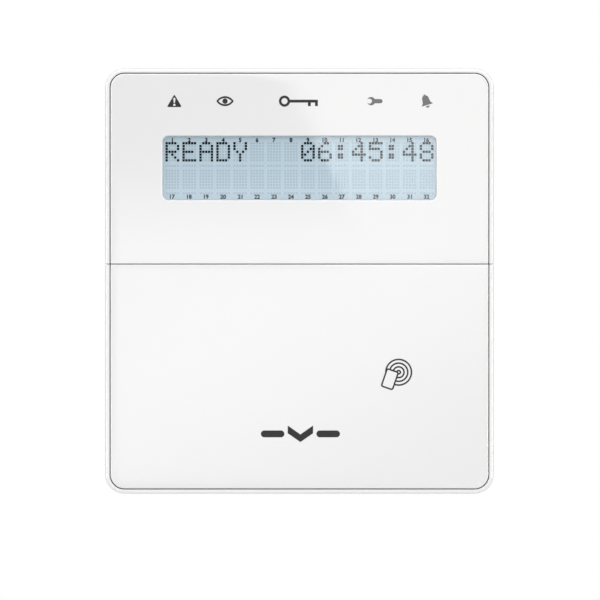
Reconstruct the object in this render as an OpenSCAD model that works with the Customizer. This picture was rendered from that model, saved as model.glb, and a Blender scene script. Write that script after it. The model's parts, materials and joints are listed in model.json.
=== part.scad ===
// Wall-mounted alarm keypad with a text display, a flip-down door and a card reader.
// Every sub-part is drawn lying on its back: x to the right, y up the wall, z forward from the wall.
// stand() then turns it upright, so that +Z is up and the front faces -Y.

/* [Body] */
// Width of the housing across the front
body_w = 126; // [124:1:132]
// Height of the housing
body_h = 138; // [136:1:144]
// Depth from the wall to the face of the front plates
body_d = 24; // [24:0.5:28]
// Radius of the housing's corners, seen from the front
corner_r = 6.3; // [5.5:0.1:8]
// Height of the line between window and door, above the middle of the housing
split_y = 5.5; // [3:0.5:7]

/* [Front plates] */
// Width of the rim around the front plates
rim_w = 1.5; // [1.2:0.1:1.8]
// Gap between the rim and the front plates
plate_gap = 0.35; // [0.2:0.05:0.5]
// Thickness of the front plates
plate_t = 1.3; // [1:0.1:1.6]
// Width of the display window
window_w = 88.7; // [80:0.1:90]
// Height of the display window
window_h = 20.8; // [18:0.1:21.5]
// Height of the window's centre above the middle of the housing
window_y = 36.6; // [35:0.1:38]

/* [Keys] */
// Width of a key
key_w = 20; // [17:0.5:21]
// Height of a key
key_h = 9.6; // [8:0.2:10]
// Distance between rows of keys
row_pitch = 14.5; // [14.2:0.1:14.8]
// How far a key travels when it is pressed
key_travel = 0.95; // [0.6:0.05:0.95]

/* [Wall fixing] */
// Distance across between the corner screw holes
screw_dx = 84; // [76:1:88]
// Distance up between the corner screw holes
screw_dy = 100; // [92:1:104]
// Radius of the screw holes
screw_r = 2.1; // [1.8:0.1:2.5]
// Distance between the two slots that fit a flush box
box_dx = 60; // [58:1:62]
// Width of the cable entry
entry_w = 34; // [24:1:36]
// Height of the cable entry
entry_h = 22; // [16:1:22]

/* [Hidden] */
$fn = 96;
eps = 0.02;
soft_fn = 32;            // segments of a full circle in the softened outer shells
soft_steps = 4;          // steps of the rounding at their front edge

// Levels forward of the wall
wall_t = 2;              // housing side walls
rim_drop = 0.3;          // rim below the face of the plates
soft_e = 1.2;            // softening of the rim's outer edge
tape_t = 0.2;            // adhesive sheet under each plate
rim_z = body_d - rim_drop;
seat_z = body_d - plate_t - tape_t;
shelf_t = 2;             // housing wall behind the upper plate
shelf_z = seat_z - shelf_t;
door_floor_t = 1.5;
door_inner_z = seat_z - door_floor_t;
door_back_z = door_inner_z - 1.5;
part_gap = 0.3;          // between the door and the housing's side walls
part_z = door_back_z - part_gap;
deck_t = 2;
deck_top_z = part_z - 1.7;
deck_z = deck_top_z - deck_t;
board_t = 1.6;
board_top_z = deck_z - 3.5;
board_z = board_top_z - board_t;
shell_back_z = 1;        // the housing stops short of the wall
base_floor_t = 2;
base_wall_t = 1.6;
base_wall_z = 8;
base_inset = wall_t + 0.3;

// Split between the fixed front and the door
split_gap = 0.25;
upper_y = split_y + split_gap / 2;
door_y = split_y - split_gap / 2;
door_wall_t = 1.5;

// Door hinge: axis along x, close to the door's lower back corner
barrel_r = 1.8;
hinge_y = -body_h / 2 + barrel_r;
hinge_z = door_back_z - 0.5;
skirt_r = 5;             // back edge of the door's lower skirt, around the axis
gutter_r = 5.3;          // trough that the skirt turns in
gutter_wall = 1.5;
ear_r = 1.6;
ear_x = 50;              // inner face of each ear
ear_t = 3;
ear_play = 0.4;
trunnion_r = 0.9;
hinge_clearance = 0.05;
barrel_x = 56;
ear_foot = 6.4;          // length of the arm from the axis to the deck

// Finger scoops in the housing's sides, and sound slots in its lower wall
scoop_r = 4;
scoop_depth = 1.4;
scoop_y = [-10, 4];
sound_slots = 5;
sound_slot_w = 1.2;
sound_slot_pitch = 3;
sound_slot_z = [5, 11];

// Door latches
latch_x = 57;
latch_y = 1.5;
latch_w = 5;
latch_t = 1.2;
latch_tip_z = deck_z - 1.1;
latch_play = 0.6;

// Display
glass_w = 94;
glass_h = 26;
glass_t = 2;
glass_z = seat_z - 0.5 - glass_t;
carrier_w = 96;
carrier_h = 25.6;
backlight_w = 91;
backlight_h = 22.6;
backlight_t = 3;
display_opening_w = glass_w + 1;
display_opening_h = glass_h + 1;
window_r = 1.9;
lens_gap = 0.05;
pin_count = 18;
pin_pitch = 2.54;

// Status symbols and the light guides behind them
symbol_y = 58.25;
warning_x = -40.5;
eye_x = -24.1;
key_symbol_x = -0.45;
wrench_x = 24.3;
bell_x = 41;
guide_w = 6.4;
guide_h = 5;
status_led = [3.2, 2.8, 0.9];
ink_t = 0.05;

// Symbols on the door
card_x = 32.1;
card_y = -29.5;
card_place = [-2.85, -2.25];     // the card's middle from the middle of the rings
card_tilt = -19;
mark_x = 0.3;
mark_y = -49.45;

// Keys
key_columns = [-43, -17, 9, 42];
first_row_y = -5.5;
key_corner_r = 2.6;
key_gap = 0.35;
key_top_z = door_inner_z - 0.8;
flange_grow = 1.2;
flange_z = board_top_z + 1.6;
flange_t = 1.6;
pill_r = 2.5;
pill_play = 0.05;        // between the pill and the board when the key is fully down
pill_z = board_top_z + key_travel + pill_play;
mat_t = 0.9;
mat_gap = 0.4;
key_led_x = [-30, -4, 25.5];
key_led = [1.6, 1.2, 0.6];

// Circuit board and what stands on it
board_w = body_w - 9;
board_h = body_h - 11;
board_screw_x = 54.5;
board_screws_y = [59.5, 12, -60.5];
boss_r = 2.6;
board_screw_r = 1.15;
board_hole_r = 1.5;
screw_head_r = 2.5;
screw_head_t = 1.7;
screw_reach = 2.9;       // how far the board screws go past the board
drive_w = 0.6;           // slot of a screw's cross drive
terminal_count = 6;
terminal_pitch = 5.08;
terminal_y = 5;
terminal_d = 8;
terminal_h = min(8, board_z - base_floor_t - 0.4);
coil_r = 16;
coil_w = 3;
buzzer_x = -36;
buzzer_y = -40;
buzzer_r = 7;
buzzer_h = 6;
capacitor_r = 3.1;
capacitor_h = 5.8;
header_x = 38;
header_y = 22;
header = [16, 8.4, 7];
header_wall = 1;
switch_y = -39.5;
switch_w = 6.4;
switch_h = 5.2;
plunger_r = 1.3;
plunger_gap = 0.05;
plunger_play = 0.05;     // between the plunger's tip and the tab it rests on

// Base
entry_y = 24;
tab_y = -44;
tab_r = 7;
tab_slit = 1;            // slit around the breakaway tab
tab_hole_r = 1.8;
pad_r = 4.5;             // raised pad around each corner screw
pad_z = 3.2;
box_slot_w = 8;
rib_t = 1.2;
rib_z = 3.4;
catch_x = 30;            // hooks at the top and tongues at the bottom, on both sides
catch_w = 6;
hook_z = 5;
tongue_z = 1.2;
catch_play = 0.4;

KEYS = [
    ["key_1", "key_2", "key_3", "key_up"],
    ["key_4", "key_5", "key_6", "key_left"],
    ["key_7", "key_8", "key_9", "key_right"],
    ["key_star", "key_0", "key_hash", "key_down"]
];

// ---------------------------------------------------------------- helpers

// Turns a part drawn on its back upright: its z becomes -Y and its y becomes +Z.
module stand() rotate([90, 0, 0]) children();

// Extrudes a flat shape from level z0 to level z1.
module slab(z0, z1) translate([0, 0, z0]) linear_extrude(z1 - z0) children();

module round_rect(w, h, r) {
    square([w - 2 * r, h], center = true);
    square([w, h - 2 * r], center = true);
    for (x = [-1, 1], y = [-1, 1])
        translate([x * (w / 2 - r), y * (h / 2 - r)]) circle(r);
}

// The housing's outline, moved inwards.
module outline(inset = 0)
    round_rect(body_w - 2 * inset, body_h - 2 * inset, corner_r - inset);

module above(y) translate([-body_w, y]) square([2 * body_w, body_h]);
module below(y) translate([-body_w, y - 2 * body_h]) square([2 * body_w, 2 * body_h]);

module upper_outline(inset, y) intersection() {
    outline(inset);
    above(y);
}

module lower_outline(inset, y) intersection() {
    outline(inset);
    below(y);
}

// The whole body as a block whose front edge is rounded by soft_e.
module soft_body(z0) hull()
    for (a = [0 : 90 / soft_steps : 90])
        slab(z0, rim_z - soft_e * (1 - sin(a))) outline(soft_e * (1 - cos(a)), $fn = soft_fn);

// A cylinder along x, centred on the door's hinge axis.
module hinge_cylinder(r, x0, x1)
    translate([x0, hinge_y, hinge_z]) rotate([0, 90, 0]) cylinder(r = r, h = x1 - x0);

// Draws its children at x and mirrored to -x.
module both_sides() {
    children();
    mirror([1, 0, 0]) children();
}

module at_board_screws() for (x = [-1, 1], y = board_screws_y)
    translate([x * board_screw_x, y]) children();

module at_key(row, column)
    translate([key_columns[column], first_row_y - row * row_pitch]) children();

module at_keys() for (row = [0:3], column = [0:3]) at_key(row, column) children();

// ---------------------------------------------------------------- symbols

module warning_symbol() difference() {
    union() {
        polygon([[-2.05, -1.9], [2.05, -1.9], [2.2, -1.55], [0.2, 1.85], [-0.2, 1.85], [-2.2, -1.55]]);
        for (x = [-2.02, 2.02]) translate([x, -1.68]) circle(0.22);
        translate([0, 1.75]) circle(0.22);
    }
    polygon([[-0.36, 0.75], [0.36, 0.75], [0.22, -0.55], [-0.22, -0.55]]);
    translate([0, 0.75]) circle(0.36);
    translate([0, -1.2]) circle(0.4);
}

// The space between two equal arcs, w wide and h high.
module lens_shape(w, h) {
    r = (w * w / 4 + h * h / 4) / h;
    intersection() {
        translate([0, r - h / 2]) circle(r);
        translate([0, h / 2 - r]) circle(r);
    }
}

module eye_symbol() {
    difference() {
        lens_shape(5.6, 3.2);
        lens_shape(4.3, 2);
    }
    circle(0.85);
}

module wrench_symbol() difference() {
    union() {
        translate([-1.1, 0]) circle(1.35);
        translate([-0.6, -0.68]) square([2.5, 1.36]);
        translate([1.9, 0]) circle(0.68);
    }
    translate([-1.65, 0]) circle(0.8);
    translate([-2.9, -0.55]) square([1.5, 1.1]);
}

module bell_symbol() rotate(17) {
    translate([0, 0.85]) circle(1.08);
    translate([0, 1.9]) circle(0.34);
    polygon([[-1.08, 0.9], [1.08, 0.9], [1.25, -0.45], [1.9, -1.3], [-1.9, -1.3], [-1.25, -0.45]]);
    intersection() {
        translate([0, -1.6]) circle(0.6);
        translate([-1, -3]) square([2, 1.4]);
    }
}

// A plain key lying on its side.
module key_symbol() {
    difference() {
        translate([-4.4, 0]) circle(1.8);
        translate([-4.4, 0]) circle(1);
    }
    translate([-2.8, -0.45]) square([9.2, 0.9]);
    translate([3.2, -1.6]) square([0.9, 1.3]);
    translate([5.5, -1.6]) square([0.9, 1.3]);
}

module ring(r, line) difference() {
    circle(r + line / 2);
    circle(r - line / 2);
}

// A card held up to a reader: rings, and a tilted card in front of them.
module card_symbol() {
    line = 0.5;
    card = [4.3, 6.4];
    corner = 0.8;
    difference() {
        for (r = [0.56, 1.75, 2.95, 4.15]) ring(r, line);
        translate(card_place) rotate(card_tilt) round_rect(card.x, card.y, corner);
    }
    translate(card_place) rotate(card_tilt) difference() {
        round_rect(card.x, card.y, corner);
        round_rect(card.x - 2 * line, card.y - 2 * line, corner - line);
    }
}

// A downward chevron between two bars: the way the door opens.
module opening_symbol() {
    for (x = [-9, 9]) translate([x, 0]) round_rect(7.6, 2.2, 1.09);
    polygon([[-4.1, 2.7], [0, -0.2], [4.1, 2.7], [4.1, 0.2], [0, -2.65], [-4.1, 0.2]]);
}

// ---------------------------------------------------------------- housing

module rear_base() color("gainsboro") stand() difference() {
    union() {
        slab(0, base_floor_t) outline(base_inset);
        slab(0, base_wall_z) difference() {
            outline(base_inset);
            outline(base_inset + base_wall_t);
        }
        for (x = [-1, 1], y = [-1, 1])
            translate([x * screw_dx / 2, y * screw_dy / 2]) cylinder(r = pad_r, h = pad_z);
        // hooks at the top and tongues at the bottom hold the housing
        both_sides() translate([catch_x - catch_w / 2, body_h / 2 - base_inset - eps, hook_z])
            cube([catch_w, 1, 1.5]);
        both_sides() translate([catch_x - catch_w / 2, -body_h / 2 + catch_play, tongue_z])
            cube([catch_w, 2, 1.6]);
        // ribs beside the cable entry and under the tab
        both_sides() translate([entry_w / 2 + 1.5, entry_y - 10, 0]) cube([rib_t, 20, rib_z]);
        both_sides() translate([tab_r + 3, tab_y - 12, 0]) cube([rib_t, 22, rib_z]);
    }
    for (x = [-1, 1], y = [-1, 1])
        translate([x * screw_dx / 2, y * screw_dy / 2, -1]) cylinder(r = screw_r, h = 6);
    for (x = [-1, 1]) slab(-1, 4) translate([x * box_dx / 2, 0]) {
        square([box_slot_w - 2 * screw_r, 2 * screw_r], center = true);
        for (s = [-1, 1]) translate([s * (box_slot_w / 2 - screw_r), 0]) circle(screw_r);
    }
    slab(-1, 4) translate([0, entry_y]) round_rect(entry_w, entry_h, 2);
    // breakaway tab: a disc held by three webs
    slab(-1, 4) translate([0, tab_y]) difference() {
        ring(tab_r + tab_slit / 2, tab_slit);
        for (a = [90, 210, 330]) rotate(a) translate([tab_r + tab_slit / 2, 0])
            square([2 * tab_slit, 1.5], center = true);
    }
    translate([0, tab_y - 1.5, -1]) cylinder(r = tab_hole_r, h = 5);
}

// The side walls, the wall behind the upper plate and the key deck.
module housing_shell() difference() {
    soft_body(shell_back_z);
    // room for the door and, behind it, the key tray
    translate([-body_w, -body_h, part_z]) cube([2 * body_w, body_h + upper_y, body_d]);
    slab(deck_top_z, body_d) lower_outline(wall_t, upper_y);
    // seat of the upper plate
    slab(seat_z, body_d) upper_outline(rim_w, upper_y - 1);
    // inside, reached from the back
    slab(-1, deck_z) outline(wall_t);
    slab(-1, shelf_z) upper_outline(wall_t, upper_y + wall_t);
}

module housing_bosses() intersection() {
    union() at_board_screws() translate([0, 0, board_top_z])
        cylinder(r = boss_r, h = shelf_z - board_top_z + 1);
    union() {
        slab(0, shelf_z + 0.5) above(upper_y + 1);
        slab(0, deck_z + 0.5) below(upper_y + 1);
    }
}

// Arms that reach down from the deck and carry the door's trunnions.
module hinge_ears() both_sides() translate([ear_x, hinge_y, hinge_z]) {
    rotate([0, 90, 0]) cylinder(r = ear_r, h = ear_t);
    rotate([90, 0, 90]) linear_extrude(ear_t)
        polygon([[-0.6, -1.48], [ear_foot, -3.4], [ear_foot, -1.5], [ear_foot - 1.4, -1.5], [1, 1.25]]);
}

module housing_openings() {
    slab(shelf_z - 1, body_d) translate([0, window_y])
        square([display_opening_w, display_opening_h], center = true);
    for (x = [warning_x, eye_x, wrench_x, bell_x]) slab(shelf_z - 1, body_d)
        translate([x, symbol_y]) square([guide_w + 0.4, guide_h + 0.4], center = true);
    slab(deck_z - 1, body_d) at_keys()
        round_rect(key_w + 2 * key_gap, key_h + 2 * key_gap, key_corner_r + key_gap);
    slab(deck_z - 1, body_d) both_sides() translate([latch_x, latch_y])
        square([latch_w + 1, latch_t + 2 * latch_play], center = true);
    at_board_screws() translate([0, 0, board_top_z - 1]) cylinder(r = board_screw_r + 0.05, h = 4);
    // sound slots below the buzzer
    for (i = [0:sound_slots - 1])
        translate([buzzer_x + (i - (sound_slots - 1) / 2) * sound_slot_pitch, -body_h / 2, 0])
            translate([-sound_slot_w / 2, -1, sound_slot_z[0]])
                cube([sound_slot_w, wall_t + 2, sound_slot_z[1] - sound_slot_z[0]]);
    // release slots for the base's tongues, and pockets for its hooks
    both_sides() translate([catch_x - catch_w / 2 - 1, -body_h / 2 - 1, 0])
        cube([catch_w + 2, wall_t + 2, 3.4]);
    both_sides() translate([catch_x - catch_w / 2 - 1, body_h / 2 - wall_t - 1, hook_z - catch_play])
        cube([catch_w + 2, 2.1, 1.5 + 2 * catch_play]);
    // finger scoops in the sides, behind the door's edge
    both_sides() translate([body_w / 2 + scoop_r - scoop_depth, scoop_y[0], part_z])
        rotate([-90, 0, 0]) cylinder(r = scoop_r, h = scoop_y[1] - scoop_y[0]);
}

module front_housing() color("whitesmoke") stand() difference() {
    union() {
        difference() {
            union() {
                housing_shell();
                intersection() {
                    hinge_cylinder(gutter_r + gutter_wall, -body_w, body_w);
                    slab(shell_back_z, deck_top_z) outline(0.5);
                }
            }
            hinge_cylinder(gutter_r, -body_w, body_w);
        }
        housing_bosses();
        hinge_ears();
    }
    housing_openings();
    hinge_cylinder(trunnion_r + hinge_clearance, -body_w / 2 + 2, body_w / 2 - 2);
}

// ---------------------------------------------------------------- upper front

module plate_outline() difference() {
    upper_outline(rim_w + plate_gap, upper_y);
    translate([0, window_y]) round_rect(window_w, window_h, window_r);
}

module front_plate() color("white") stand() slab(seat_z + tape_t, body_d) plate_outline();

module plate_tape() color("dimgray") stand() slab(seat_z, seat_z + tape_t) difference() {
    upper_outline(rim_w + 0.05, upper_y);
    translate([0, window_y]) square([window_w + 1.4, window_h + 1.4], center = true);
    for (x = [warning_x, eye_x, wrench_x, bell_x])
        translate([x, symbol_y]) square([guide_w, guide_h], center = true);
}

module display_lens() color("lightcyan", 0.5) stand()
    slab(seat_z + tape_t, body_d) translate([0, window_y])
        round_rect(window_w - 2 * lens_gap, window_h - 2 * lens_gap, window_r - lens_gap);

module status_symbols() color("dimgray") stand() slab(body_d, body_d + ink_t) {
    translate([warning_x, symbol_y]) warning_symbol();
    translate([eye_x, symbol_y]) eye_symbol();
    translate([wrench_x, symbol_y]) wrench_symbol();
    translate([bell_x, symbol_y]) bell_symbol();
    translate([key_symbol_x, symbol_y]) key_symbol();
}

// ---------------------------------------------------------------- display

module lcd_gasket() color("darkslategray") stand()
    slab(glass_z + glass_t, seat_z + tape_t - 0.01) translate([0, window_y]) difference() {
        square([window_w + 1.3, window_h + 1.3], center = true);
        square([window_w + 0.3, window_h + 0.3], center = true);
    }

module lcd_glass() color("lightsteelblue") stand()
    translate([0, window_y, glass_z + glass_t / 2]) cube([glass_w, glass_h, glass_t], center = true);

module lcd_carrier() color("white") stand() difference() {
    slab(board_top_z, glass_z) translate([0, window_y]) square([carrier_w, carrier_h], center = true);
    translate([0, window_y]) {
        slab(glass_z - backlight_t, glass_z + 1)
            square([backlight_w + 0.4, backlight_h + 0.4], center = true);
        slab(board_top_z - 1, glass_z - backlight_t - 1)
            square([backlight_w - 2, backlight_h - 2], center = true);
    }
}

module lcd_backlight() color("aliceblue") stand()
    slab(glass_z - backlight_t, glass_z - 0.05) translate([0, window_y])
        square([backlight_w, backlight_h], center = true);

module lcd_pins() color("silver") stand() for (i = [0:pin_count - 1])
    translate([(i - (pin_count - 1) / 2) * pin_pitch, window_y - glass_h / 2 - 0.35, board_top_z])
        translate([-0.25, 0, 0]) cube([0.5, 0.3, glass_z + 0.8 - board_top_z]);

// ---------------------------------------------------------------- status lights

module status_light_guide() color("ghostwhite", 0.6) stand() {
    bridge_z = board_top_z + 2.4;
    for (x = [warning_x, eye_x, wrench_x, bell_x])
        slab(board_top_z + 1.2, seat_z + tape_t - 0.02) translate([x, symbol_y])
            square([guide_w - 0.2, guide_h - 0.2], center = true);
    translate([warning_x, symbol_y - 1, bridge_z]) cube([bell_x - warning_x, 2, 1.4]);
}

module status_leds() color("khaki") stand() for (x = [warning_x, eye_x, wrench_x, bell_x])
    translate([x, symbol_y, board_top_z + status_led.z / 2]) cube(status_led, center = true);

// ---------------------------------------------------------------- circuit board

module main_board() color("seagreen") stand() difference() {
    slab(board_z, board_top_z) round_rect(board_w, board_h, 2);
    at_board_screws() translate([0, 0, board_z - 1]) cylinder(r = board_hole_r, h = 4);
}

module board_screws() color("silver") stand() at_board_screws() difference() {
    union() {
        translate([0, 0, board_z - screw_head_t]) cylinder(r = screw_head_r, h = screw_head_t);
        translate([0, 0, board_z - 0.1]) cylinder(r = board_screw_r, h = board_t + screw_reach);
    }
    translate([0, 0, board_z - screw_head_t]) for (a = [0, 90]) rotate(a)
        cube([3, drive_w, screw_head_t], center = true);
}

// [x, y, width, height, thickness] of each chip body on the back of the board
CHIPS = [[0, -18, 12, 12, 1.4], [28, 4, 8.7, 3.9, 1.6], [-26, -8, 4.9, 3.9, 1.5], [-28, 38, 6.5, 3.6, 1.8]];

module board_chips() color("black") stand() for (c = CHIPS)
    translate([c[0] - c[2] / 2, c[1] - c[3] / 2, board_z - c[4]]) cube([c[2], c[3], c[4] - 0.1]);

module chip_leads() color("silver") stand() for (c = CHIPS) {
    count = floor((c[2] - 0.8) / 1.27);
    for (i = [0:count], s = [-1, 1])
        translate([c[0] + (i - count / 2) * 1.27, c[1] + s * (c[3] / 2 + 0.5), board_z - 0.4])
            cube([0.45, 1, 0.8], center = true);
}

module board_capacitors() color("lightgray") stand() for (p = [[-38, 24], [-47, 24], [-42.5, 15]])
    translate([p.x, p.y, board_z - capacitor_h]) cylinder(r = capacitor_r, h = capacitor_h);

// A shrouded header, open towards the wall, with a key slot in its lower side.
module service_header() color("black") stand() translate([header_x, header_y, board_z]) difference() {
    translate([0, 0, -header.z / 2]) cube(header, center = true);
    translate([0, 0, -header.z / 2 - 1.5])
        cube([header.x - 2 * header_wall, header.y - 2 * header_wall, header.z], center = true);
    translate([-2, -header.y / 2 - 1, -header.z - 1]) cube([4, 2.5, 5.5]);
}

module header_pins() color("gold") stand() for (i = [-2:2], j = [-0.5, 0.5])
    translate([header_x + i * pin_pitch - 0.32, header_y + j * pin_pitch - 0.32, board_z - 6.4])
        cube([0.64, 0.64, 4.9]);

module terminal_block() color("limegreen") stand() {
    w = terminal_count * terminal_pitch;
    difference() {
        translate([-w / 2, terminal_y - terminal_d / 2, board_z - terminal_h])
            cube([w, terminal_d, terminal_h]);
        for (i = [0:terminal_count - 1]) translate([(i - (terminal_count - 1) / 2) * terminal_pitch, 0, 0]) {
            // wire entry, facing the cable opening
            translate([-1.4, terminal_y, board_z - terminal_h + 3.6]) cube([2.8, terminal_d, 2.8]);
            // well for the clamping screw
            translate([0, terminal_y - 0.6, board_z - terminal_h - 1]) cylinder(r = 1.75, h = 4);
        }
    }
}

module terminal_screws() color("silver") stand() for (i = [0:terminal_count - 1])
    translate([(i - (terminal_count - 1) / 2) * terminal_pitch, terminal_y - 0.6, board_z - terminal_h + 1.2])
        difference() {
            cylinder(r = 1.6, h = 1.8);
            translate([0, 0, 0.2]) cube([4, 0.5, 1], center = true);
        }

module buzzer() color("black") stand() translate([buzzer_x, buzzer_y, board_z - buzzer_h]) difference() {
    cylinder(r = buzzer_r, h = buzzer_h);
    translate([0, 0, -1]) cylinder(r = 1, h = 3);
}

module reader_coil() color("peru") stand() slab(board_z - 1.4, board_z) translate([card_x, card_y])
    ring(coil_r, coil_w);

module tamper_switch() color("black") stand() difference() {
    translate([-switch_w / 2, switch_y - switch_w / 2, board_z - switch_h])
        cube([switch_w, switch_w, switch_h]);
    translate([0, switch_y, board_z - switch_h - 1]) cylinder(r = plunger_r + plunger_gap, h = switch_h);
}

// The plunger rests on the base's breakaway tab, and has a little travel left into the switch.
module tamper_plunger() color("ivory") stand()
    translate([0, switch_y, base_floor_t + plunger_play])
        cylinder(r = plunger_r, h = board_z - 2.2 - base_floor_t);

// ---------------------------------------------------------------- keys

module key_leds() color("khaki") stand()
    for (x = key_led_x, row = [0:3])
        translate([x, first_row_y - row * row_pitch, board_top_z + key_led.z / 2])
            cube(key_led, center = true);

module key_mat() color("gainsboro") stand() slab(board_top_z, board_top_z + mat_t) difference() {
    translate([-0.5, first_row_y - 1.5 * row_pitch]) round_rect(111, 4 * row_pitch + 1.2, 2);
    room = 2 * (flange_grow + mat_gap);
    at_keys() square([key_w + room, key_h + room], center = true);
    for (x = key_led_x, row = [0:3])
        translate([x, first_row_y - row * row_pitch]) square([key_led.x + 1, key_led.y + 1], center = true);
}

// One silicone key: cap, flange below the deck, and contact pill.
module key(row, column) color("lightgray") stand() at_key(row, column) {
    soft = 0.5;
    hull() {
        slab(flange_z, key_top_z - soft) round_rect(key_w, key_h, key_corner_r, $fn = soft_fn);
        slab(flange_z, key_top_z)
            round_rect(key_w - 2 * soft, key_h - 2 * soft, key_corner_r - soft, $fn = soft_fn);
    }
    slab(flange_z, flange_z + flange_t)
        round_rect(key_w + 2 * flange_grow, key_h + 2 * flange_grow, key_corner_r);
    translate([0, 0, pill_z]) cylinder(r = pill_r, h = flange_z - pill_z + 0.5);
}

// ---------------------------------------------------------------- door

module door_shell() difference() {
    intersection() {
        soft_body(hinge_z - skirt_r - 1);
        union() {
            slab(door_back_z, body_d) below(door_y);
            hinge_cylinder(skirt_r, -body_w, body_w);
        }
    }
    slab(0, door_inner_z) lower_outline(door_wall_t, door_y - door_wall_t);
    slab(seat_z, body_d + 1) lower_outline(rim_w, door_y + 1);
}

module door_notches() both_sides() translate([ear_x - ear_play, hinge_y, hinge_z]) {
    w = ear_t + 2 * ear_play;
    translate([0, -barrel_r - 1, -skirt_r - 1]) cube([w, 10, skirt_r + 1 + 1.9]);
    translate([0, -barrel_r - 1, 0]) cube([w, barrel_r + 0.8, 2.7]);
}

module door_frame() color("whitesmoke") stand() {
    difference() {
        union() {
            door_shell();
            hinge_cylinder(barrel_r, -barrel_x, barrel_x);
        }
        door_notches();
    }
    both_sides() hinge_cylinder(trunnion_r, ear_x - ear_play - 1, ear_x + ear_t - 0.2);
    both_sides() translate([latch_x - latch_w / 2, latch_y - latch_t / 2, latch_tip_z])
        cube([latch_w, latch_t, door_inner_z + 0.5 - latch_tip_z]);
}

module door_tape() color("dimgray") stand() slab(seat_z, seat_z + tape_t) lower_outline(rim_w + 0.05, door_y);

module door_plate() color("white") stand()
    slab(seat_z + tape_t, body_d) lower_outline(rim_w + plate_gap, door_y);

module door_symbols() color("dimgray") stand() slab(body_d, body_d + ink_t) {
    translate([card_x, card_y]) card_symbol();
    translate([mark_x, mark_y]) opening_symbol();
}

// ---------------------------------------------------------------- parts

rear_base();
front_housing();
front_plate();
plate_tape();
display_lens();
status_symbols();
lcd_gasket();
lcd_glass();
lcd_carrier();
lcd_backlight();
lcd_pins();
status_light_guide();
status_leds();
main_board();
board_screws();
board_chips();
chip_leads();
board_capacitors();
service_header();
header_pins();
terminal_block();
terminal_screws();
buzzer();
reader_coil();
tamper_switch();
tamper_plunger();
key_mat();
key_leds();
door_frame();
door_tape();
door_plate();
door_symbols();
for (row = [0:3], column = [0:3])
    key(row, column);
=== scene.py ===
"""Looks of a wall-mounted alarm keypad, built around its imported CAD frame."""

import json
import math

import bmesh
import bpy
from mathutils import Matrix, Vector


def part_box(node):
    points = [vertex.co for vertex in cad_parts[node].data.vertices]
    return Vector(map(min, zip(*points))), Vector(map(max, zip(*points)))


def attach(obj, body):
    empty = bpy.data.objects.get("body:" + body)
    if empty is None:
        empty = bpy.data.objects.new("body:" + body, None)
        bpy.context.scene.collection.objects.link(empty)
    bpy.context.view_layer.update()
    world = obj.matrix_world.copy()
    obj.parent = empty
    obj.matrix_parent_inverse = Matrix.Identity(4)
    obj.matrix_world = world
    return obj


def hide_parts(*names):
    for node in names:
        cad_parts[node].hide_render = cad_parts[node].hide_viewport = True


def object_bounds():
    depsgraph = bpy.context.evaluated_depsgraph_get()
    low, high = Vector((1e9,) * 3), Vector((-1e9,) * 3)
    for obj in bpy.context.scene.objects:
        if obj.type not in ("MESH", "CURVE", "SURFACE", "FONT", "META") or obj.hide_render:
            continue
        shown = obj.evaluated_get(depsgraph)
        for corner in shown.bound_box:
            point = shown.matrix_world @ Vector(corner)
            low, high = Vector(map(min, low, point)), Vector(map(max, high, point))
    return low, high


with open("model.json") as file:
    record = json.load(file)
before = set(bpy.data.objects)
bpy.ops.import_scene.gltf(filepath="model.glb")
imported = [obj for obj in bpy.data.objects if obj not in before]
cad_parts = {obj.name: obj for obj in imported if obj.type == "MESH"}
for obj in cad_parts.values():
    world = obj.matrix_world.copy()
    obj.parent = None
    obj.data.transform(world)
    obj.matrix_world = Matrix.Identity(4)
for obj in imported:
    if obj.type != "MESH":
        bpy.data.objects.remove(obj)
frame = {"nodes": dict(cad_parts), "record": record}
CAD_LOW, CAD_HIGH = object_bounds()
MM = 0.001

# Sizes that the frame's boxes don't give, in metres unless a comment says otherwise
PLATE_CORNER = 4.45 * MM
SPLIT_CORNER = 0.3 * MM                # the plates' corners at the split
# Softened edges, as steps in from the side and back from the face, in mm
PLATE_EDGE = ((0, 0.25), (0.05, 0.17), (0.27, 0.01), (0.3, 0))
LENS_EDGE = ((0, 0.12), (0.04, 0.04), (0.12, 0))
PILLOW = (2.8 * MM, 0.05 * MM)         # how far in, and how deep, the plates' faces roll off
PILLOW_REST = 0.2 * MM                 # flat ring inside the rolled-off part
WINDOW_CORNER = 1.9 * MM
WINDOW_PLAY = 0.05 * MM                # gap between the window and its hole
CELLS = 16                             # characters in a line
CELL_PITCH = 5.5 * MM
DOT_ROWS, DOT_COLUMNS = 7, 5           # dots in a character
DOT_PITCH = 0.925 * MM
LIT_DOT = 0.78 * MM
LIT_THICK = 0.03 * MM
IDLE_DOT = 0.6 * MM
IDLE_THICK = 0.02 * MM
LINE_TOPS = (8.15 * MM, -0.75 * MM)    # first row of dots in each line, above the window's centre
CURSOR_DROP = 7.33 * MM                # from a line's first row of dots to its cursor row
FONT_CAPITAL = 0.7                     # height of the font's digits, as a share of its size
FONT_WEIGHT = 0.06                     # how much the strokes are widened, as a share of height
NUMBER_ROWS = (9.2 * MM, -9.2 * MM)    # small numbers, from the window's centre
NUMBER_HEIGHT = 1.3 * MM
NUMBER_THICK = 0.02 * MM
NUMBER_LIFT = 0.05 * MM                # in front of the display cell
CLEAR_MIRROR = 0.036                   # share of light that the window mirrors, seen square on
LEGEND_HEIGHT = 4.2 * MM
LEGEND_THICK = 0.04 * MM
LEGEND_SINK = 0.01 * MM                # from the key's face back to a legend's middle
ARROW_SIZE = 2.3 * MM
STAR_SIZE = 2.1 * MM
KEY_FLANGE = 1.2 * MM
KEY_FLANGE_BACK = 0.6 * MM
KEY_FLANGE_THICK = 1.6 * MM
KEY_CORNER = 2.6 * MM
KEY_ROLL = 0.7 * MM                    # radius of the cap's rolled edge
ROLL_STEPS = 6
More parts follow.
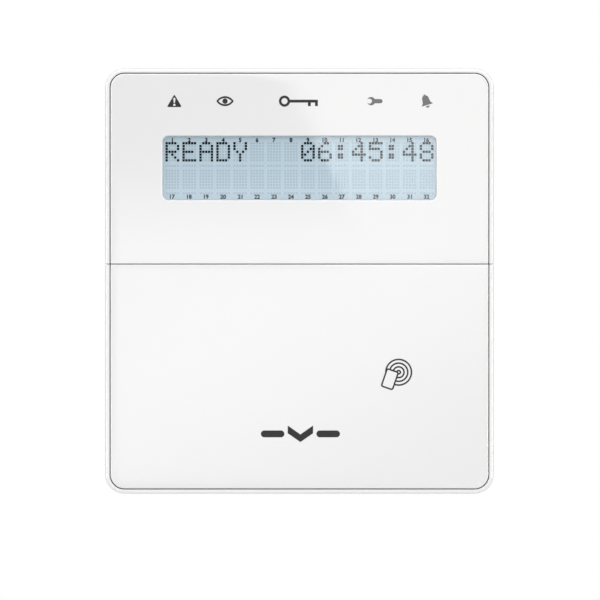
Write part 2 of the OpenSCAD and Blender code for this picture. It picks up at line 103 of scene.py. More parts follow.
KEY_CROWN = 0.22 * MM
CROWN_WIDTH = 1.5 * MM                 # how far in from the rolled edge the crown rises
CROWN_STEPS = 5
PILL_RADIUS = 2.5 * MM
PILL_SIDES = 48
MOULDED_EDGE = 0.15 * MM               # rounding of the CAD nodes' sharp edges
WELD_GAP = 0.002 * MM
TEXT_WELD_GAP = 0.0005 * MM

# Stage
CAMERA_DISTANCE = 0.8092
CAMERA_SIDE = 0.17 * MM
CAMERA_DROP = 6.12 * MM
CAMERA_LENS = 150.0                    # focal length in mm
CARD_BEHIND = 0.9                      # the light card's distance from the origin
CARD_SIZE = 0.58
CARD_STRENGTH = 2.7
KEY_LIGHT_PLACE = (0.1, -1.15, 0.7)
KEY_LIGHT_SIZE = 0.7
KEY_LIGHT_POWER = 4.4                  # watts
FLOOR_HEIGHT = -0.165
FLOOR_RADIUS = 0.45
FADE_START, FADE_END = 0.45, 0.98      # shares of the floor's radius

# The display's 5 by 7 dot shapes, top row first
GLYPHS = {
    "0": "01110 10001 10011 10101 11001 10001 01110",
    "4": "00010 00110 01010 10010 11111 00010 00010",
    "5": "11111 10000 11110 00001 00001 10001 01110",
    "6": "00110 01000 10000 11110 10001 10001 01110",
    "8": "01110 10001 10001 01110 10001 10001 01110",
    ":": "00000 01100 01100 00000 01100 01100 00000",
    "A": "01110 10001 10001 11111 10001 10001 10001",
    "D": "11110 10001 10001 10001 10001 10001 11110",
    "E": "11111 10000 10000 11110 10000 10000 11111",
    "R": "11110 10001 10001 11110 10100 10010 10001",
    "Y": "10001 10001 10001 01010 00100 00100 00100",
}
MESSAGE = "READY   06:45:48"


# ---------------------------------------------------------------- node materials

def new_material(name):
    """A node material and its principled shader."""
    material = bpy.data.materials.new(name)
    material.use_nodes = True
    return material, material.node_tree.nodes["Principled BSDF"]


def add(material, kind, **settings):
    """A new node of that kind.

    settings are its properties, or its inputs by name, with _ for a space.
    """
    node = material.node_tree.nodes.new("ShaderNode" + kind)
    for key, value in settings.items():
        if hasattr(node, key):
            setattr(node, key, value)
        else:
            node.inputs[key.replace("_", " ")].default_value = value
    return node


def link(material, source, target):
    """Joins an output to an input."""
    material.node_tree.links.new(source, target)


def noise(material, size, detail=2.0, stretch=(1, 1, 1)):
    """A noise with features of that size in metres."""
    place = add(material, "TexCoord")
    mapping = add(material, "Mapping")
    mapping.inputs["Scale"].default_value = stretch
    texture = add(material, "TexNoise", Scale=1 / size, Detail=detail)
    link(material, place.outputs["Object"], mapping.inputs["Vector"])
    link(material, mapping.outputs["Vector"], texture.inputs["Vector"])
    return texture.outputs["Fac"]


def ranged(material, source, low, high):
    """source, which varies around 0.5, spread between low and high."""
    spread = add(material, "MapRange", From_Min=0.3, From_Max=0.7, To_Min=low, To_Max=high)
    link(material, source, spread.inputs["Value"])
    return spread.outputs["Result"]


def tinted(material, colour, change, source):
    """colour varied a little lighter and darker by source."""
    mix = add(material, "Mix", data_type="RGBA")
    mix.inputs[6].default_value = (*[c * (1 - change) for c in colour], 1)
    mix.inputs[7].default_value = (*[min(1, c * (1 + change)) for c in colour], 1)
    link(material, source, mix.inputs[0])
    return mix.outputs[2]


def bumped(material, shader, source, depth):
    """Bumps of that depth on shader, high where source is."""
    bump = add(material, "Bump", Strength=1.0, Distance=depth)
    link(material, source, bump.inputs["Height"])
    link(material, bump.outputs["Normal"], shader.inputs["Normal"])


def moulded(name, colour, roughness=0.45, grain=0.16 * MM, depth=0.006 * MM, change=0.012,
            ior=1.46):
    """Moulded plastic or rubber with a fine eroded grain."""
    material, shader = new_material(name)
    fine = noise(material, grain)
    shader.inputs["IOR"].default_value = ior
    link(material, tinted(material, colour, change, noise(material, 14 * MM)),
         shader.inputs["Base Color"])
    link(material, ranged(material, fine, roughness - 0.07, roughness + 0.07),
         shader.inputs["Roughness"])
    bumped(material, shader, fine, depth)
    return material


def polished(name, colour, roughness=0.06, change=0.006):
    """Gloss plastic, with the faint waviness of a moulded face."""
    material, shader = new_material(name)
    wide = noise(material, 5 * MM, detail=1.0)
    shader.inputs["IOR"].default_value = 1.49
    link(material, tinted(material, colour, change, noise(material, 25 * MM)),
         shader.inputs["Base Color"])
    link(material, ranged(material, noise(material, 1.5 * MM), roughness * 0.7, roughness * 1.4),
         shader.inputs["Roughness"])
    bumped(material, shader, wide, 0.0012 * MM)
    return material


def metal(name, colour, roughness=0.3, stretch=(1, 1, 1)):
    """Bare metal with fine marks, drawn out along an axis by stretch."""
    material, shader = new_material(name)
    fine = noise(material, 0.25 * MM, stretch=stretch)
    shader.inputs["Metallic"].default_value = 1.0
    link(material, tinted(material, colour, 0.06, noise(material, 2 * MM)),
         shader.inputs["Base Color"])
    link(material, ranged(material, fine, roughness * 0.6, roughness * 1.5),
         shader.inputs["Roughness"])
    bumped(material, shader, fine, 0.003 * MM)
    return material


def clear_window():
    """Clear plastic that doesn't bend what is behind it: it only mirrors a little.

    The share that each of its faces mirrors follows Schlick's formula, alike from both sides.
    """
    material, shader = new_material("clear_window")
    tree = material.node_tree
    tree.nodes.remove(shader)
    clear = add(material, "BsdfTransparent", Color=(0.985, 0.99, 0.99, 1))
    mirror = add(material, "BsdfGlossy", Roughness=0.03)
    facing = add(material, "LayerWeight", Blend=0.5)
    power = add(material, "Math", operation="POWER")
    power.inputs[1].default_value = 5
    share = add(material, "Math", operation="MULTIPLY_ADD")
    share.inputs[1].default_value = 1 - CLEAR_MIRROR
    share.inputs[2].default_value = CLEAR_MIRROR
    mix = add(material, "MixShader")
    bumped(material, mirror, noise(material, 5 * MM, detail=1.0), 0.0012 * MM)
    link(material, facing.outputs["Facing"], power.inputs[0])
    link(material, power.outputs[0], share.inputs[0])
    link(material, share.outputs[0], mix.inputs[0])
    link(material, clear.outputs[0], mix.inputs[1])
    link(material, mirror.outputs[0], mix.inputs[2])
    link(material, mix.outputs[0], tree.nodes["Material Output"].inputs["Surface"])
    return material


def backlit_and_painted_glow(name, colour, glow, roughness=0.35, change=0.01):
    """A surface that glows. On the backlight sheet the glow is its own light; on the display cell
    and its idle dots the glow is painted light, lifting them out of the shade of the window's
    recess.
    """
    material, shader = new_material(name)
    tint = tinted(material, colour, change, noise(material, 9 * MM))
    link(material, tint, shader.inputs["Base Color"])
    link(material, tint, shader.inputs["Emission Color"])
    shader.inputs["Emission Strength"].default_value = glow
    link(material, ranged(material, noise(material, 0.4 * MM), roughness * 0.8, roughness * 1.2),
         shader.inputs["Roughness"])
    return material


def symbol_ink():
    """Printed ink. The upper symbols on the right are lighter than those on the left."""
    material, shader = new_material("symbol_ink")
    place = add(material, "TexCoord")
    split = add(material, "SeparateXYZ")
    link(material, place.outputs["Object"], split.inputs["Vector"])
    right = add(material, "MapRange", From_Min=10 * MM, From_Max=20 * MM)
    link(material, split.outputs["X"], right.inputs["Value"])
    upper = add(material, "MapRange", From_Min=20 * MM, From_Max=30 * MM)
    link(material, split.outputs["Z"], upper.inputs["Value"])
    both = add(material, "Math", operation="MULTIPLY")
    link(material, right.outputs["Result"], both.inputs[0])
    link(material, upper.outputs["Result"], both.inputs[1])
    mix = add(material, "Mix", data_type="RGBA")
    mix.inputs[6].default_value = (0.03, 0.03, 0.032, 1)
    mix.inputs[7].default_value = (0.19, 0.19, 0.193, 1)
    link(material, both.outputs[0], mix.inputs[0])
    link(material, mix.outputs[2], shader.inputs["Base Color"])
    link(material, ranged(material, noise(material, 0.3 * MM), 0.35, 0.5),
         shader.inputs["Roughness"])
    shader.inputs["IOR"].default_value = 1.35
    return material


def circuit_board():
    """Green solder mask over copper tracks that run along x and z."""
    material, shader = new_material("circuit_board")
    place = add(material, "TexCoord")
    tracks = add(material, "TexBrick", Scale=1 / (6 * MM), Color1=(0, 0, 0, 1),
                 Color2=(0.25, 0.25, 0.25, 1), Mortar=(1, 1, 1, 1), Mortar_Size=0.035)
    turn = add(material, "Mapping")
    turn.inputs["Rotation"].default_value = (math.radians(90), 0, 0)
    link(material, place.outputs["Object"], turn.inputs["Vector"])
    link(material, turn.outputs["Vector"], tracks.inputs["Vector"])
    mix = add(material, "Mix", data_type="RGBA")
    mix.inputs[6].default_value = (0.012, 0.11, 0.035, 1)
    mix.inputs[7].default_value = (0.04, 0.2, 0.06, 1)
    link(material, tracks.outputs["Color"], mix.inputs[0])
    link(material, mix.outputs[2], shader.inputs["Base Color"])
    link(material, ranged(material, noise(material, 0.5 * MM), 0.25, 0.4),
         shader.inputs["Roughness"])
    bumped(material, shader, tracks.outputs["Color"], 0.02 * MM)
    return material


MATERIALS = {
    "housing_plastic": moulded("white_housing", (0.88, 0.88, 0.878), 0.15, depth=0.002 * MM),
    "base_plastic": moulded("rear_base_plastic", (0.8, 0.8, 0.79), 0.5, grain=0.3 * MM,
                            depth=0.012 * MM),
    "plate_gloss": polished("gloss_plate", (0.858, 0.857, 0.856)),
    "window_clear": clear_window(),
    "symbol_ink": symbol_ink(),
    "adhesive_tape": moulded("adhesive_sheet", (0.12, 0.12, 0.125), 0.7, grain=0.4 * MM),
    "black_foam": moulded("gasket_foam", (0.02, 0.02, 0.022), 0.8, grain=0.5 * MM,
                          depth=0.05 * MM),
    # The display cell's glow is painted light: it lifts the cell out of the shade of the window's
    # recess.
    "lcd_cell": backlit_and_painted_glow("display_cell_painted_glow", (0.375, 0.465, 0.528), 0.45, 0.3),
    "diffuser": backlit_and_painted_glow("backlight_sheet", (0.7, 0.82, 0.88), 0.4),
    "light_guide": moulded("light_guide_resin", (0.75, 0.77, 0.78), 0.3, grain=0.5 * MM),
    "led": polished("led_resin", (0.75, 0.66, 0.3), 0.2),
    "tinned_metal": metal("tinned_pins", (0.72, 0.72, 0.7), 0.25),
    "gold_pins": metal("gold_pins", (0.83, 0.6, 0.22), 0.2),
    "screw_steel": metal("zinc_screws", (0.62, 0.63, 0.64), 0.35, stretch=(1, 4, 1)),
    "board_laminate": circuit_board(),
    "black_plastic": moulded("black_resin", (0.022, 0.022, 0.024), 0.5, grain=0.3 * MM,
                             depth=0.01 * MM),
    "white_plastic": moulded("white_resin", (0.78, 0.78, 0.76), 0.45),
    "terminal_green": moulded("terminal_resin", (0.03, 0.26, 0.07), 0.42, grain=0.25 * MM),
    "capacitor_can": metal("capacitor_can", (0.7, 0.71, 0.72), 0.3, stretch=(1, 8, 1)),
    "coil_copper": metal("copper_winding", (0.6, 0.25, 0.12), 0.3),
    "silicone_mat": moulded("mat_silicone", (0.5, 0.51, 0.515), 0.6, grain=0.2 * MM),
    "key_silicone": moulded("key_silicone", (0.66, 0.67, 0.675), 0.55, grain=0.12 * MM,
                            depth=0.008 * MM),
}
LCD_DOT_ON = moulded("display_dots", (0.002, 0.004, 0.008), 0.6, ior=1.2)
# The idle dots glow like the cell: painted light against the shade of the window's recess.
LCD_DOT_OFF = backlit_and_painted_glow("display_idle_dots_painted_glow", (0.29, 0.367, 0.425), 0.45, 0.3)
LCD_NUMBER = moulded("display_numbers", (0.006, 0.01, 0.015), 0.6, ior=1.2)
LEGEND_INK = moulded("legend_ink", (0.04, 0.042, 0.046), 0.45)


# ---------------------------------------------------------------- mesh helpers

def outline(low, high, radii, inset=0.0, steps=12):
    """Points of a rounded rectangle in x and z, anticlockwise from the front.

    low and high are corners as (x, z). radii: bottom left, bottom right, top right, top left.
    """
    smallest = 0.04 * MM
    points = []
    corners = [(low[0], low[1], 1, 1, 180), (high[0], low[1], -1, 1, 270),
               (high[0], high[1], -1, -1, 0), (low[0], high[1], 1, -1, 90)]
    for (x, z, inward_x, inward_z, start), radius in zip(corners, radii):
        radius = max(radius - inset, smallest)
        centre_x = x + inward_x * (inset + radius)
        centre_z = z + inward_z * (inset + radius)
        for i in range(steps + 1):
            angle = math.radians(start + 90 * i / steps)
            points.append((centre_x + radius * math.cos(angle),
                           centre_z + radius * math.sin(angle)))
    return points


def ring(bm, points, y):
    """A ring of vertices at y, which is a number or a function of x and z."""
    return [bm.verts.new((x, y(x, z) if callable(y) else y, z)) for x, z in points]


def bridge(bm, back, front):
    """Quads between two rings with as many points, facing outwards."""
    for i, point in enumerate(back):
        j = (i + 1) % len(back)
        bm.faces.new((point, back[j], front[j], front[i]))


def edges_of(bm, points):
    """The edges of a closed ring."""
    return [bm.edges.get((p, points[(i + 1) % len(points)])) for i, p in enumerate(points)]


def finished(name, bm, slot, body, replaced=(), material=None, sharp=35):
    """Turns bm into a piece that rides on body, and gives it its material."""
    bmesh.ops.recalc_face_normals(bm, faces=bm.faces)
    mesh = bpy.data.meshes.new(name)
    bm.to_mesh(mesh)
    bm.free()
    for face in mesh.polygons:
        face.use_smooth = True
    mesh.set_sharp_from_angle(angle=math.radians(sharp))
    piece = bpy.data.objects.new(name, mesh)
    bpy.context.scene.collection.objects.link(piece)
    mesh.materials.append(material or MATERIALS[slot])
    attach(piece, body)
    if replaced:
        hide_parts(*replaced)
    weighted = piece.modifiers.new("weighted_normals", "WEIGHTED_NORMAL")
    weighted.keep_sharp = True
    return piece


def front_corners(node):
    """(x, z) of a node's low and high corners, and its front and back y."""
    low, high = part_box(node)
    return (low.x, low.z), (high.x, high.z), low.y, high.y


def edge_rings(bm, low, high, radii, front, back, edge):
    """A plate's side wall and softened edge. Returns its back ring and its innermost front ring.

    front is a function of x and z. edge is a list like PLATE_EDGE.
    """
    first = ring(bm, outline(low, high, radii), back)
    last = first
    for inset, drop in edge:
        points = outline(low, high, radii, inset * MM)
        new = ring(bm, points, lambda x, z: front(x, z) + drop * MM)
        bridge(bm, last, new)
        last = new
    return first, last


# ---------------------------------------------------------------- front plates and window

def pillowed(low, high, front):
    """A plate's face as a function of x and z: flat, and rolling off near three of its edges.

    low and high are the plate's corners, with the edge at the split moved far away.
    """
    middle = Vector(((low[0] + high[0]) / 2, (low[1] + high[1]) / 2))
    half = Vector(((high[0] - low[0]) / 2 - PLATE_CORNER,
                   (high[1] - low[1]) / 2 - PLATE_CORNER))

    def face(x, z):
        over_x = abs(x - middle.x) - half.x
        over_z = abs(z - middle.y) - half.y
        outside = math.hypot(max(over_x, 0), max(over_z, 0))
        inside = PLATE_CORNER - outside - min(max(over_x, over_z), 0)
        share = 1 - min(max(inside / PILLOW[0], 0), 1)
        return front + PILLOW[1] * share ** 2

    return face


def pillow_rings(bm, low, high, radii, face, last, steps=6):
    """Rings from a plate's softened edge to the flat part of its face. Returns the innermost."""
    start = PLATE_EDGE[-1][0] * MM
    for i in range(1, steps + 1):
        inset = start + (PILLOW[0] + PILLOW_REST - start) * i / steps
        new = ring(bm, outline(low, high, radii, inset), face)
        bridge(bm, last, new)
        last = new
    return last


def build_front_plate():
    """The upper gloss plate, with a hole for the window."""
    low, high, front, back = front_corners("front_plate")
    hole_low, hole_high, _, _ = front_corners("display_lens")
    radii = (SPLIT_CORNER, SPLIT_CORNER, PLATE_CORNER, PLATE_CORNER)
    face = pillowed((low[0], low[1] - 1), high, front)
    bm = bmesh.new()
    back_ring, edge_ring = edge_rings(bm, low, high, radii, face, back, PLATE_EDGE)
    front_ring = pillow_rings(bm, low, high, radii, face, edge_ring)
    hole = [ring(bm, outline(hole_low, hole_high, [WINDOW_CORNER] * 4, -WINDOW_PLAY - out * MM),
                 front + drop * MM) for out, drop in reversed(PLATE_EDGE)]
    hole.append(ring(bm, outline(hole_low, hole_high, [WINDOW_CORNER] * 4, -WINDOW_PLAY), back))
    for a, b in zip(hole, hole[1:]):
        bridge(bm, a, b)
    for outer, inner in ((front_ring, hole[0]), (back_ring, hole[-1])):
        bmesh.ops.triangle_fill(bm, edges=edges_of(bm, outer) + edges_of(bm, inner),
                                use_beauty=True)
    finished("gloss_front_plate", bm, "plate_gloss", "panel", ["front_plate"])


def build_door_plate():
    """The gloss plate on the door."""
    low, high, front, back = front_corners("door_plate")
    radii = (PLATE_CORNER, PLATE_CORNER, SPLIT_CORNER, SPLIT_CORNER)
    face = pillowed(low, (high[0], high[1] + 1), front)
    bm = bmesh.new()
    back_ring, edge_ring = edge_rings(bm, low, high, radii, face, back, PLATE_EDGE)
    front_ring = pillow_rings(bm, low, high, radii, face, edge_ring)
    bm.faces.new(front_ring)
    bm.faces.new(reversed(back_ring))
    finished("gloss_door_plate", bm, "plate_gloss", "door", ["door_plate"])


def build_window():
    """The clear window over the display."""
    low, high, front, back = front_corners("display_lens")
    bm = bmesh.new()
    radii = [WINDOW_CORNER] * 4
    back_ring, front_ring = edge_rings(bm, low, high, radii, lambda x, z: front, back, LENS_EDGE)
    bm.faces.new(front_ring)
    bm.faces.new(reversed(back_ring))
    finished("clear_display_window", bm, "window_clear", "panel", ["display_lens"])


# ---------------------------------------------------------------- display

def add_dot(bm, x, z, back, thick, size):
    """A thin square tile, standing thick proud of back."""
    half = size / 2
    corners = [(x + a * half, z + b * half) for a, b in ((-1, -1), (1, -1), (1, 1), (-1, 1))]
    rear, front = ring(bm, corners, back), ring(bm, corners, back - thick)
    bridge(bm, rear, front)
    bm.faces.new(reversed(rear))
    bm.faces.new(front)


def build_display_dots():
    """Every dot of every character, lit or idle, as a thin tile on the display cell."""
    window_low, window_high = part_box("display_lens")
    middle = (window_low + window_high) / 2
    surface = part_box("lcd_glass")[0].y
    on, off = bmesh.new(), bmesh.new()
    first_x = middle.x - ((CELLS - 1) * CELL_PITCH + (DOT_COLUMNS - 1) * DOT_PITCH) / 2
    for line, top in enumerate(LINE_TOPS):
        for cell in range(CELLS):
            shown = MESSAGE[cell] if line == 0 else " "
            rows = GLYPHS.get(shown, " ".join(["0" * DOT_COLUMNS] * DOT_ROWS)).split()
            for row in range(DOT_ROWS + 1):
                drop = row * DOT_PITCH if row < DOT_ROWS else CURSOR_DROP
                for column in range(DOT_COLUMNS):
                    x = first_x + cell * CELL_PITCH + column * DOT_PITCH
                    z = middle.z + top - drop
                    lit = row < DOT_ROWS and rows[row][column] == "1"
                    if lit:
                        add_dot(on, x, z, surface, LIT_THICK, LIT_DOT)
                    else:
                        add_dot(off, x, z, surface, IDLE_THICK, IDLE_DOT)
    finished("display_lit_dots", on, "lcd_cell", "panel", material=LCD_DOT_ON)
    finished("display_idle_dots_painted_glow", off, "lcd_cell", "panel", material=LCD_DOT_OFF)


def text_mesh(text, height, depth):
    """A mesh of the text, height tall, centred on the origin, facing -Y."""
    curve = bpy.data.curves.new("text", "FONT")
    curve.body = text
    curve.size = height / FONT_CAPITAL
    curve.align_x = "CENTER"
    curve.align_y = "CENTER"
    curve.extrude = depth / 2
    curve.offset = height * FONT_WEIGHT
    curve.resolution_u = 3
    holder = bpy.data.objects.new("text", curve)
    bpy.context.scene.collection.objects.link(holder)
    bpy.context.view_layer.update()
    graph = bpy.context.evaluated_depsgraph_get()
    mesh = bpy.data.meshes.new_from_object(holder.evaluated_get(graph))
    bpy.data.objects.remove(holder)
    wide, tall = ([vertex.co[axis] for vertex in mesh.vertices] for axis in (0, 1))
    middle_x, middle_y = (min(wide) + max(wide)) / 2, (min(tall) + max(tall)) / 2
    for vertex in mesh.vertices:
        x, y, z = vertex.co
        vertex.co = (x - middle_x, -z, y - middle_y)
    joined = bmesh.new()
    joined.from_mesh(mesh)
    bmesh.ops.remove_doubles(joined, verts=joined.verts, dist=TEXT_WELD_GAP)
    joined.to_mesh(mesh)
    joined.free()
    return mesh


def add_mesh(bm, mesh, offset):
    """Adds a mesh to bm, moved by offset, and deletes it."""
    start = len(bm.verts)
    bm.from_mesh(mesh)
    bm.verts.ensure_lookup_table()
    for vertex in bm.verts[start:]:
        vertex.co += Vector(offset)
    bpy.data.meshes.remove(mesh)


def build_column_numbers():
    """The small numbers over and under the characters, 1 to 16 and 17 to 32."""
    window_low, window_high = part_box("display_lens")
    middle = (window_low + window_high) / 2
    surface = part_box("lcd_glass")[0].y
    bm = bmesh.new()
    for line, above in enumerate(NUMBER_ROWS):
        for cell in range(CELLS):
            x = middle.x + (cell - (CELLS - 1) / 2) * CELL_PITCH
            number = text_mesh(str(line * CELLS + cell + 1), NUMBER_HEIGHT, NUMBER_THICK)
            add_mesh(bm, number, (x, surface - NUMBER_LIFT, middle.z + above))
    finished("display_column_numbers", bm, "lcd_cell", "panel", material=LCD_NUMBER)


# ---------------------------------------------------------------- keys

def build_key(node):
    """A silicone key: contact pill, flange and a cap with a rolled edge and a slight crown."""
    low, high, front, back = front_corners(node)
    bm = bmesh.new()
    cap_low = (low[0] + KEY_FLANGE, low[1] + KEY_FLANGE)
    cap_high = (high[0] - KEY_FLANGE, high[1] - KEY_FLANGE)
    radii = [KEY_CORNER] * 4
    flange_back = back - KEY_FLANGE_BACK
    flange_front = flange_back - KEY_FLANGE_THICK
    rings = [ring(bm, outline(low, high, radii), flange_back),
             ring(bm, outline(low, high, radii), flange_front),
             ring(bm, outline(cap_low, cap_high, radii), flange_front)]
    edge = front + KEY_CROWN
    for i in range(ROLL_STEPS + 1):
        angle = math.radians(90 * i / ROLL_STEPS)
        points = outline(cap_low, cap_high, radii, KEY_ROLL * (1 - math.cos(angle)))
        rings.append(ring(bm, points, edge + KEY_ROLL * (1 - math.sin(angle))))
    for i in range(1, CROWN_STEPS + 1):
        share = i / CROWN_STEPS
        points = outline(cap_low, cap_high, radii, KEY_ROLL + CROWN_WIDTH * share)
        rings.append(ring(bm, points, edge - KEY_CROWN * (1 - (1 - share) ** 2)))
    for a, b in zip(rings, rings[1:]):
        bridge(bm, a, b)
    bm.faces.new(rings[-1])
    middle = ((low[0] + high[0]) / 2, (low[1] + high[1]) / 2)
    turns = [math.radians(360 * i / PILL_SIDES) for i in range(PILL_SIDES)]
    circle = [(middle[0] + PILL_RADIUS * math.cos(a), middle[1] + PILL_RADIUS * math.sin(a))
              for a in turns]
    pill_back, pill_front = ring(bm, circle, back), ring(bm, circle, flange_back)
    bridge(bm, pill_back, pill_front)
    bm.faces.new(reversed(pill_back))
    bmesh.ops.triangle_fill(bm, edges=edges_of(bm, rings[0]) + edges_of(bm, pill_front),
                            use_beauty=True)
    finished("silicone_" + node, bm, "key_silicone", node, [node])
    build_legend(node, middle, front)


def flat_shape(bm, corners, middle, y, turn, size, depth=LEGEND_THICK):
    """A thin solid of that outline, scaled, turned by that many degrees and centred on middle."""
    angle = math.radians(turn)
    points = [(middle[0] + size * (x * math.cos(angle) - z * math.sin(angle)),
               middle[1] + size * (x * math.sin(angle) + z * math.cos(angle))) for x, z in corners]
    back, front = ring(bm, points, y + depth / 2), ring(bm, points, y - depth / 2)
    bridge(bm, back, front)
    bm.faces.new(reversed(back))
    bm.faces.new(front)


def arrow(bm, middle, y, turn):
    """An arrowhead that points up, then turned by that many degrees."""
    flat_shape(bm, [(-1, -0.75), (0, -0.3), (1, -0.75), (0, 1)], middle, y, turn, ARROW_SIZE)


def star(bm, middle, y, arms=6, notch=0.24):
    """A six-armed star, wider at the ends of its arms."""
    corners = []
    for arm in range(arms):
        for reach, turn in ((notch, -180 / arms), (1, -9), (1, 9)):
            angle = math.radians(90 + arm * 360 / arms + turn)
            corners.append((reach * math.cos(angle), reach * math.sin(angle)))
    flat_shape(bm, corners, middle, y, 0, STAR_SIZE)


def build_legend(node, middle, front):
    """A key's printed number or sign, which rides on the key."""
    name = node.removeprefix("key_")
    turns = {"up": 0, "left": 90, "down": 180, "right": 270}
    bm = bmesh.new()
    if name in turns:
        arrow(bm, middle, front + LEGEND_SINK, turns[name])
    elif name == "star":
        star(bm, middle, front + LEGEND_SINK)
    else:
        legend = text_mesh("#" if name == "hash" else name, LEGEND_HEIGHT, LEGEND_THICK)
        add_mesh(bm, legend, (middle[0], front + LEGEND_SINK, middle[1]))
    finished("legend_" + name, bm, "key_silicone", node, material=LEGEND_INK)


# ---------------------------------------------------------------- CAD nodes that stay

def soften(node, width, angle=28, flat_angle=0.6):
    """Rounds a CAD node's sharp edges a little, as a moulding's are."""
    piece = frame["nodes"][node]
    weld = piece.modifiers.new("weld", "WELD")
    weld.merge_threshold = WELD_GAP
    flat = piece.modifiers.new("flat_faces", "DECIMATE")
    flat.decimate_type = "DISSOLVE"
    flat.angle_limit = math.radians(flat_angle)
    bevel = piece.modifiers.new("small_radius", "BEVEL")
    bevel.width = width
    bevel.segments = 2
    bevel.limit_method = "ANGLE"
    bevel.angle_limit = math.radians(angle)
    bevel.use_clamp_overlap = False
    bevel.loop_slide = False  # sliding throws a corner off the hinge ears
    bevel.harden_normals = False
    weighted = piece.modifiers.new("weighted_normals", "WEIGHTED_NORMAL")
    weighted.keep_sharp = True


def paint_cad_nodes():
    """Gives each CAD node the material of its slot."""
    for row in frame["record"]["subparts"]:
        piece = frame["nodes"][row["node"]]
        piece.data.materials.clear()
        piece.data.materials.append(MATERIALS[row["material_slot"]])


# ---------------------------------------------------------------- stage, light and camera

def build_floor():
    """A pale disc that fades into the white around it."""
    bpy.ops.mesh.primitive_circle_add(vertices=96, radius=FLOOR_RADIUS, fill_type="NGON",
                                      location=(0, 0, FLOOR_HEIGHT))
    floor = bpy.context.object
    floor.name = "floor"
    material, shader = new_material("pale_floor")
    tree = material.node_tree
    place = add(material, "TexCoord")
    distance = add(material, "VectorMath", operation="LENGTH")
    link(material, place.outputs["Object"], distance.inputs[0])
    fade = add(material, "MapRange", From_Min=FLOOR_RADIUS * FADE_START,
               From_Max=FLOOR_RADIUS * FADE_END, interpolation_type="SMOOTHSTEP")
    link(material, distance.outputs["Value"], fade.inputs["Value"])
    shader.inputs["Base Color"].default_value = (0.82, 0.82, 0.82, 1)
    shader.inputs["Roughness"].default_value = 0.8
    glow = add(material, "Emission", Color=(1, 1, 1, 1))
    mix = add(material, "MixShader")
    link(material, fade.outputs["Result"], mix.inputs[0])
    link(material, shader.outputs[0], mix.inputs[1])
    link(material, glow.outputs[0], mix.inputs[2])
    link(material, mix.outputs[0], tree.nodes["Material Output"].inputs["Surface"])
    floor.data.materials.append(material)


def build_world():
    """A white studio. It is white where it is seen, and darker low down and behind for its light.

    Gloss mirrors softboxes at the sides, with a dim front between them and a dark back.
    """
    world = bpy.data.worlds.new("studio")
    bpy.context.scene.world = world
    world.use_nodes = True
    nodes, links = world.node_tree.nodes, world.node_tree.links
    nodes.clear()
    place = nodes.new("ShaderNodeTexCoord")
    split = nodes.new("ShaderNodeSeparateXYZ")
    links.new(place.outputs["Generated"], split.inputs["Vector"])

    def ramp(axis, start, end, low, high):
        node = nodes.new("ShaderNodeMapRange")
        node.interpolation_type = "SMOOTHSTEP"
        for name, value in (("From Min", start), ("From Max", end),
                            ("To Min", low), ("To Max", high)):
            node.inputs[name].default_value = value
        links.new(split.outputs[axis], node.inputs["Value"])
        return node.outputs["Result"]

    def times(a, b):
        node = nodes.new("ShaderNodeMath")
        node.operation = "MULTIPLY"
        links.new(a, node.inputs[0])
        links.new(b, node.inputs[1])
        return node.outputs[0]

    def backdrop(strength=None):
        node = nodes.new("ShaderNodeBackground")
        node.inputs["Color"].default_value = (1, 1, 1, 1)
        if strength is not None:
            links.new(strength, node.inputs["Strength"])
        return node.outputs[0]

    def choose(choice, a, b):
        node = nodes.new("ShaderNodeMixShader")
        links.new(choice, node.inputs[0])
        links.new(a, node.inputs[1])
        links.new(b, node.inputs[2])
        return node.outputs[0]

    soft = times(ramp("Z", -0.6, 0.7, 0.42, 0.98), ramp("Y", -0.1, 0.5, 1.0, 0.75))
    softboxes = times(ramp("Y", -0.6, -0.38, 0.6, 6.0), ramp("Y", -0.1, 0.15, 1.0, 0.05))
    path = nodes.new("ShaderNodeLightPath")
    light = choose(path.outputs["Is Glossy Ray"], backdrop(soft), backdrop(softboxes))
    seen = choose(path.outputs["Is Camera Ray"], light, backdrop())
    links.new(seen, nodes.new("ShaderNodeOutputWorld").inputs["Surface"])


def area_light(name, place, target, size, power):
    """A round soft light that isn't seen in the gloss."""
    data = bpy.data.lights.new(name, "AREA")
    data.shape = "DISK"
    data.size = size
    data.energy = power
    lamp = bpy.data.objects.new(name, data)
    lamp.location = place
    lamp.rotation_euler = (Vector(target) - Vector(place)).to_track_quat("-Z", "Y").to_euler()
    bpy.context.scene.collection.objects.link(lamp)
    lamp.visible_glossy = False


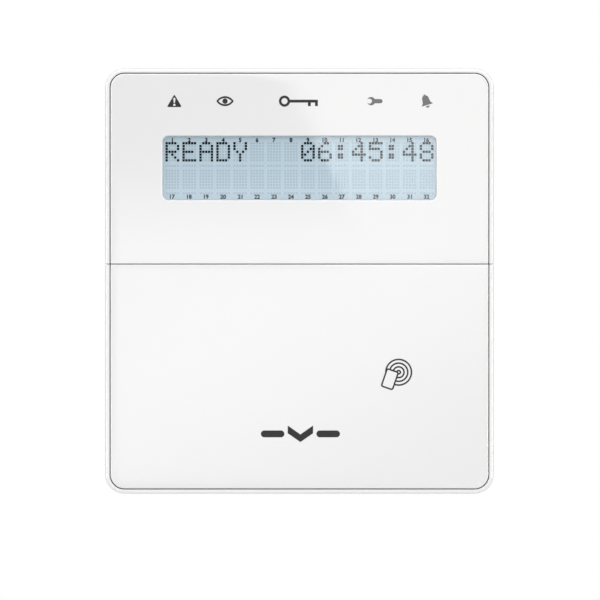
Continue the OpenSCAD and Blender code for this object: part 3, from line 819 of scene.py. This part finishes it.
def build_light_card():
    """A light panel behind the camera that the gloss front mirrors.

    It is dimmer in the upper left, with a slanting border, and fades to the lower right and at
    its edges.
    """
    front = CAD_LOW.y
    reach = CARD_BEHIND + front
    spread = 1 + reach / CAMERA_DISTANCE          # size on the card of what a plate mirrors
    bpy.ops.mesh.primitive_plane_add(size=1, location=(0, -CARD_BEHIND, 0),
                                     rotation=(math.radians(90), 0, 0))
    card = bpy.context.object
    card.name = "light_card"
    card.scale = (CARD_SIZE, CARD_SIZE, 1)
    bpy.ops.object.transform_apply(location=False, rotation=True, scale=True)
    material, shader = new_material("light_card")
    tree = material.node_tree
    tree.nodes.remove(shader)
    place = add(material, "TexCoord")
    split = add(material, "SeparateXYZ")
    link(material, place.outputs["Object"], split.inputs["Vector"])

    def linear(a, b, c):
        """a * x + b * z + c, with x and z on the plate."""
        first = add(material, "Math", operation="MULTIPLY_ADD")
        first.inputs[1].default_value = a / spread
        first.inputs[2].default_value = c
        link(material, split.outputs["X"], first.inputs[0])
        second = add(material, "Math", operation="MULTIPLY_ADD")
        second.inputs[1].default_value = b / spread
        link(material, split.outputs["Z"], second.inputs[0])
        link(material, first.outputs[0], second.inputs[2])
        return second.outputs[0]

    def step(value, low, high, to_low=0.0, to_high=1.0):
        ranged_step = add(material, "MapRange", interpolation_type="SMOOTHSTEP", From_Min=low,
                          From_Max=high, To_Min=to_low, To_Max=to_high)
        link(material, value, ranged_step.inputs["Value"])
        return ranged_step.outputs["Result"]

    def combine(operation, a, b):
        joined = add(material, "Math", operation=operation)
        link(material, a, joined.inputs[0])
        link(material, b, joined.inputs[1])
        return joined.outputs[0]

    slant = 0.464                                 # the border's slope: x over z
    border_x, border_z = -0.0033, 0.0677          # a point on it
    right_side = step(linear(1, slant, -border_x - border_z * slant), -0.0012, 0.0012, 0.0, 0.97)
    left_side = step(linear(0, -1, 0), -0.048, -0.01, 0.02, 1.0)
    lower_right = step(linear(0.45, -1, 0), 0.0, 0.095, 1.0, 0.0)
    strength = combine("MULTIPLY", combine("MAXIMUM", right_side, left_side), lower_right)
    edges = ((linear(1, 0, 0), 0.075, 0.12), (linear(-1, 0, 0), 0.055, 0.085),
             (linear(0, 1, 0), 0.08, 0.13), (linear(0, -1, 0), 0.054, 0.08))
    for edge, start, end in edges:
        strength = combine("MULTIPLY", strength, step(edge, start, end, 1.0, 0.2))
    glow = add(material, "Emission", Color=(1, 1, 1, 1))
    boost = add(material, "Math", operation="MULTIPLY")
    boost.inputs[1].default_value = CARD_STRENGTH
    link(material, strength, boost.inputs[0])
    link(material, boost.outputs[0], glow.inputs["Strength"])
    link(material, glow.outputs[0], tree.nodes["Material Output"].inputs["Surface"])
    card.data.materials.append(material)
    card.visible_camera = False
    card.visible_diffuse = False
    card.visible_shadow = False
    card.visible_transmission = False


def build_camera():
    """A long lens, square on to the front and a little below its middle."""
    data = bpy.data.cameras.new("camera")
    data.lens = CAMERA_LENS
    camera = bpy.data.objects.new("camera", data)
    camera.location = (CAMERA_SIDE, CAD_LOW.y - CAMERA_DISTANCE, -CAMERA_DROP)
    camera.rotation_euler = (math.radians(90), 0, 0)
    bpy.context.scene.collection.objects.link(camera)
    bpy.context.scene.camera = camera
    bpy.context.scene.view_settings.view_transform = "Standard"


paint_cad_nodes()
for softened in ("front_housing", "door_frame", "rear_base"):
    soften(softened, MOULDED_EDGE)
build_front_plate()
build_door_plate()
build_window()
build_display_dots()
build_column_numbers()
for node_name in frame["nodes"]:
    if node_name.startswith("key_") and node_name not in ("key_mat", "key_leds"):
        build_key(node_name)
build_floor()
build_world()
area_light("key_light", KEY_LIGHT_PLACE, (0, 0, 0), KEY_LIGHT_SIZE, KEY_LIGHT_POWER)
build_light_card()
build_camera()
